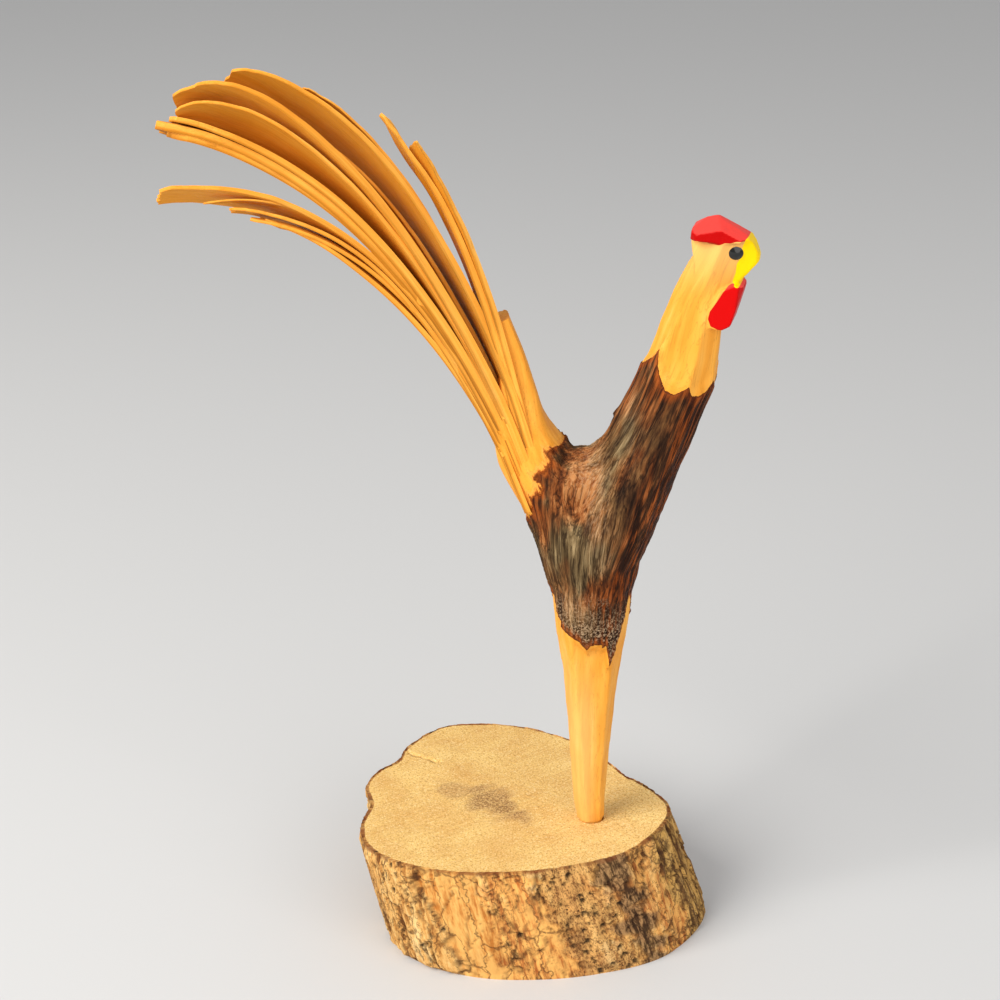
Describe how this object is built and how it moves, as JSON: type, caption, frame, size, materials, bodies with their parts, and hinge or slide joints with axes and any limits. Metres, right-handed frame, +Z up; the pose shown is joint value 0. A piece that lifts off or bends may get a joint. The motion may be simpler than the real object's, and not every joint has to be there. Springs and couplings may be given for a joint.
{
  "type": "carved wooden rooster on a log slice",
  "caption": "Folk rooster whittled from a forked branch: barked body, bare faceted leg and neck, painted head, a fan of curled shavings for a tail, standing in a slice of log with bark.",
  "frame": {"origin": "middle of the flat underside of the log slice, on the surface that the carving stands on", "axes": "+Z up, +X the way the rooster faces, with the tail towards -X"},
  "size_m": [0.1434, 0.0858, 0.2392],
  "materials": {
    "log_wood": "raw sawn wood with rough flaking bark, unvarnished",
    "branch_wood": "knife-cut bare wood, satin, with streaked bark on the body and gloss paint on comb, wattles, beak and eye"
  },
  "bodies": {
    "root": {"log_slice": "log_wood", "rooster": "branch_wood"}
  },
  "joints": []
}
